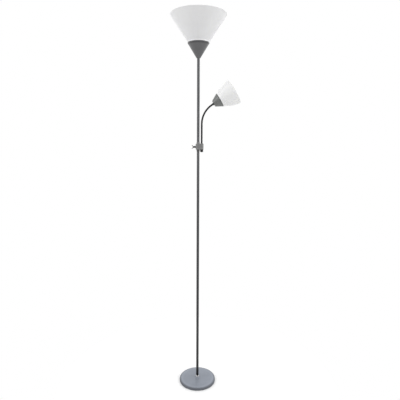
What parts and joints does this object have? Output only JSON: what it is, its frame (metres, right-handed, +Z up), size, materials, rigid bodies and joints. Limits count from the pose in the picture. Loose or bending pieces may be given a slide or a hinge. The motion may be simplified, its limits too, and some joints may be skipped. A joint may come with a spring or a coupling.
{
  "type": "torchiere floor lamp with reading light",
  "caption": "Slender floor lamp: weighted round base, pole with an upward cone shade, a small reading light on a flexible gooseneck, and a key switch on the bracket.",
  "frame": {"origin": "centre of the base on the floor", "axes": "+Z up along the pole; +X from the pole towards the reading light; -Y is the side with the bracket cover whose screws do not show"},
  "size_m": [0.3221, 0.254, 1.78],
  "materials": {
    "base_enamel": "satin grey enamel",
    "cast_weight": "rough casting",
    "pad_rubber": "matte",
    "black_rubber": "matte",
    "pole_enamel": "glossy grey enamel",
    "polished_steel": "polished plated steel",
    "bright_steel": "plain zinc-plated steel",
    "bracket_enamel": "satin grey enamel over a casting",
    "black_plastic": "satin",
    "neck_coating": "satin black coating",
    "cup_enamel": "satin dark grey enamel",
    "grey_cup_enamel": "satin grey enamel",
    "socket_plastic": "satin moulded",
    "brass": "stamped sheet",
    "pearl_shade": "translucent pearl white",
    "white_shade": "translucent white",
    "white_plastic": "satin moulded"
  },
  "bodies": {
    "stand": {"base_lock_washer": "bright_steel", "base_nipple": "bright_steel", "base_nut": "bright_steel", "base_pad": "pad_rubber", "base_shell": "base_enamel", "base_washer": "bright_steel", "base_weight": "cast_weight", "bracket_back": "bracket_enamel", "bracket_front": "bracket_enamel", "bracket_lower_nipple": "bright_steel", "bracket_nuts": "bright_steel", "bracket_screws": "bright_steel", "bracket_upper_nipple": "bright_steel", "cord_bushing": "black_rubber", "pole_coupling_1": "bright_steel", "pole_coupling_2": "bright_steel", "pole_foot_collar": "polished_steel", "pole_tube_lower": "pole_enamel", "pole_tube_middle": "pole_enamel", "pole_tube_top": "pole_enamel", "pole_tube_upper": "pole_enamel", "switch_body": "black_plastic", "switch_nut": "neck_coating", "top_contact": "brass", "top_holder": "cup_enamel", "top_holder_nut": "bright_steel", "top_nipple": "bright_steel", "top_screw_shell": "brass", "top_shade": "pearl_shade", "top_shade_ring": "white_plastic", "top_socket": "socket_plastic"},
    "switch_knob": {"switch_shaft": "black_plastic", "switch_key": "black_plastic"},
    "gooseneck_foot": {"gooseneck_ferrule": "neck_coating", "gooseneck_washer": "neck_coating", "gooseneck_nut": "black_plastic"},
    "neck": {"gooseneck": "neck_coating"},
    "reading_head": {"reader_ferrule": "neck_coating", "reader_holder": "grey_cup_enamel", "reader_holder_nut": "bright_steel", "reader_socket": "socket_plastic", "reader_screw_shell": "brass", "reader_contact": "brass", "reader_shade": "white_shade", "reader_shade_ring": "white_plastic"}
  },
  "joints": [
    {"name": "switch_key_turn", "type": "hinge", "parent": "stand", "child": "switch_knob", "pos_m": [-0.0144, 0, 1.1955], "axis": [-1, 0, 0], "continuous": true},
    {"name": "gooseneck_swivel", "type": "hinge", "parent": "stand", "child": "gooseneck_foot", "pos_m": [0.0165, 0, 1.197], "axis": [0, 0, 1], "range_deg": [-110, 110]},
    {"name": "gooseneck_lower_bend", "type": "hinge", "parent": "gooseneck_foot", "child": "neck", "pos_m": [0.0165, 0, 1.25], "axis": [0, 1, 0], "range_deg": [0, 50], "deforming": ["gooseneck"]},
    {"name": "gooseneck_upper_bend", "type": "hinge", "parent": "neck", "child": "reading_head", "pos_m": [0.02984, 0, 1.35211], "axis": [0, 1, 0], "range_deg": [-30, 60], "deforming": ["gooseneck"]}
  ]
}
